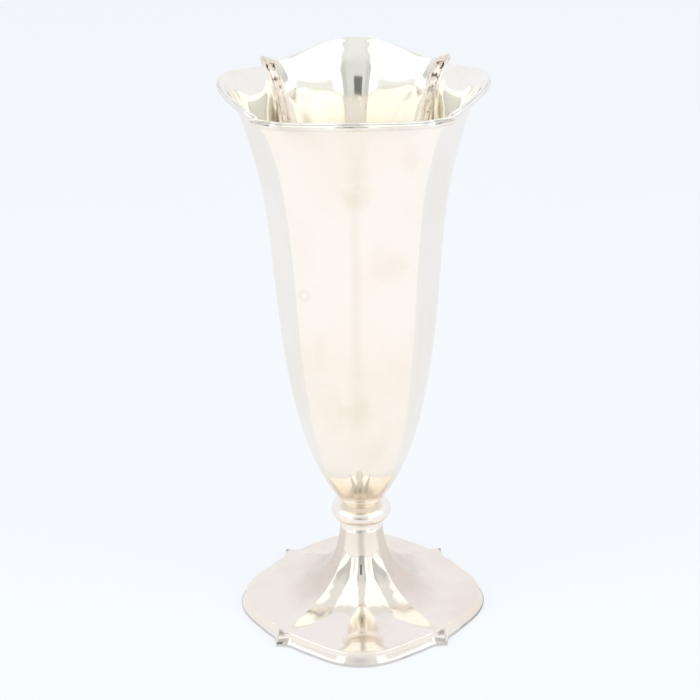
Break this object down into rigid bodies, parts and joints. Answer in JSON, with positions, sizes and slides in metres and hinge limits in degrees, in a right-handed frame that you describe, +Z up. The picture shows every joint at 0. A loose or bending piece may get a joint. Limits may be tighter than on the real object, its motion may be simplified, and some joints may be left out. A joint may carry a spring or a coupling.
{
  "type": "trumpet vase",
  "caption": "Tall silver trumpet vase with bowed panels, a waved flaring rim, a turned knop and a spreading lobed foot, for holding cut flowers.",
  "frame": {"origin": "middle of the foot's underside, on the surface that the vase stands on", "axes": "+Z up along the vase's axis, the front panel faces -Y"},
  "size_m": [0.0808, 0.0808, 0.18],
  "materials": {
    "silver": "polished silver with a light warm tarnish",
    "solder": "rough browned silver solder"
  },
  "bodies": {
    "root": {"body_panel_front": "silver", "body_panel_right": "silver", "body_panel_back": "silver", "body_panel_left": "silver", "corner_seam_front_left": "solder", "corner_seam_front_right": "solder", "corner_seam_back_right": "solder", "corner_seam_back_left": "solder", "rim_wire_front": "silver", "rim_wire_right": "silver", "rim_wire_back": "silver", "rim_wire_left": "silver", "body_base": "silver", "knop_bead": "silver", "knop_collar": "silver", "foot_shell": "silver", "foot_wire_front": "silver", "foot_wire_right": "silver", "foot_wire_back": "silver", "foot_wire_left": "silver"}
  },
  "joints": []
}
